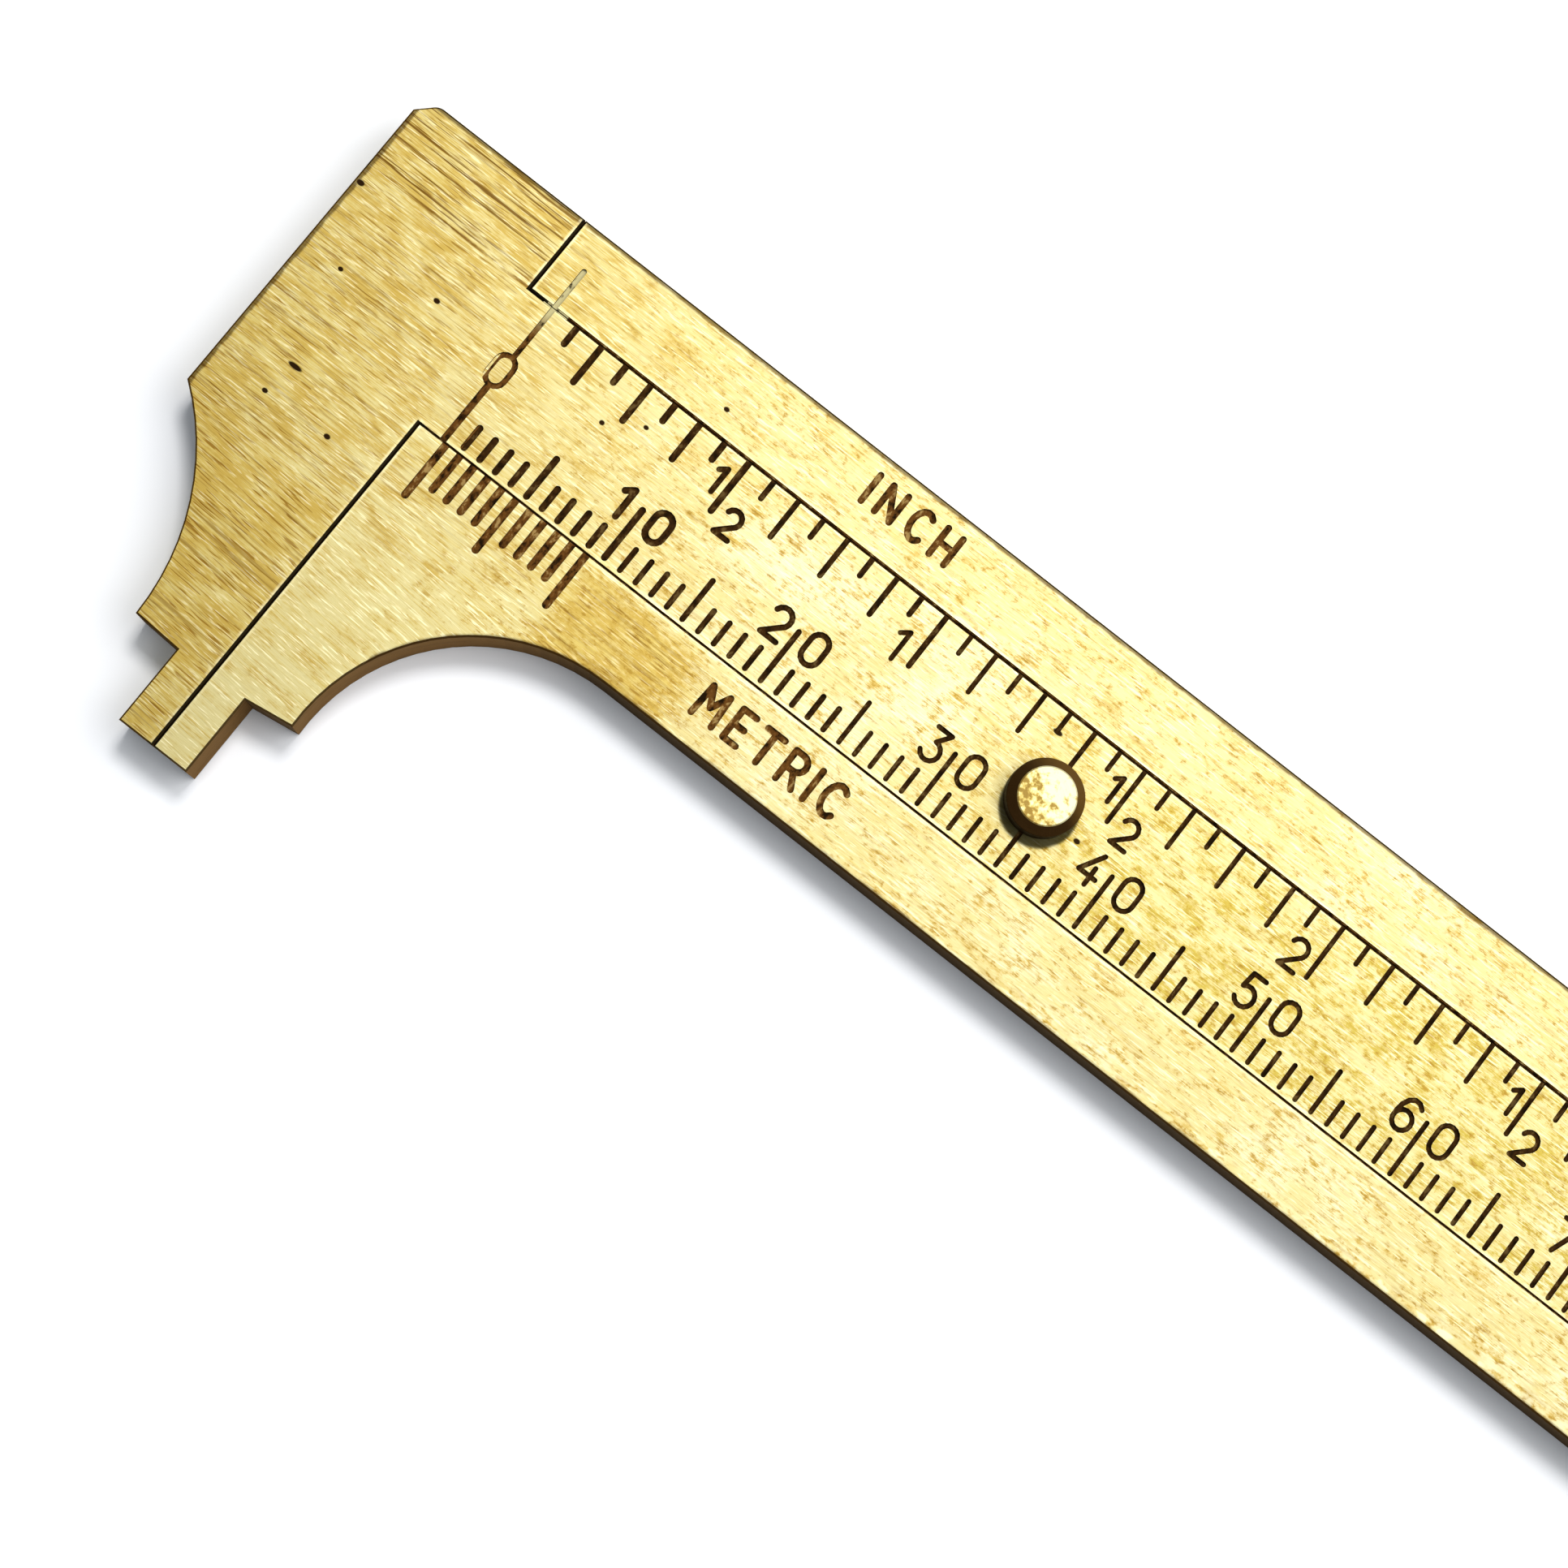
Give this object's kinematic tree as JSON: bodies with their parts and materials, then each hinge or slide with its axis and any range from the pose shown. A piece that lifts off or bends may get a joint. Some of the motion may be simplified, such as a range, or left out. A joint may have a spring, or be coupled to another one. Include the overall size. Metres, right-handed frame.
{
  "type": "pocket slide caliper",
  "caption": "Flat brass slide caliper with closed jaws, a graduated tongue sliding in a dovetail channel, a vernier and a thumb knob.",
  "frame": {"origin": "on the flat back, under the zero graduation, on the tongue's centre line", "axes": "+X along the rule towards larger numbers, +Y towards the inch scale, +Z out of the graduated face; jaws point to -Y"},
  "size_m": [0.108, 0.0345, 0.0049],
  "materials": {
    "body_brass": "brushed, lightly worn",
    "slide_brass": "brushed, lightly worn",
    "knob_brass": "turned, lightly worn",
    "pin_steel": "ground",
    "spring_steel": "rolled spring strip",
    "rivet_brass": "drawn"
  },
  "bodies": {
    "body": {"main_body": "body_brass", "stop_pin": "pin_steel"},
    "slide": {"slide_bar": "slide_brass", "thumb_knob": "knob_brass", "friction_spring": "spring_steel", "spring_rivet": "rivet_brass"}
  },
  "joints": [
    {"name": "jaw_slide", "type": "slide", "parent": "body", "child": "slide", "axis": [-1, 0, 0], "range_m": [0, 0.08]}
  ]
}
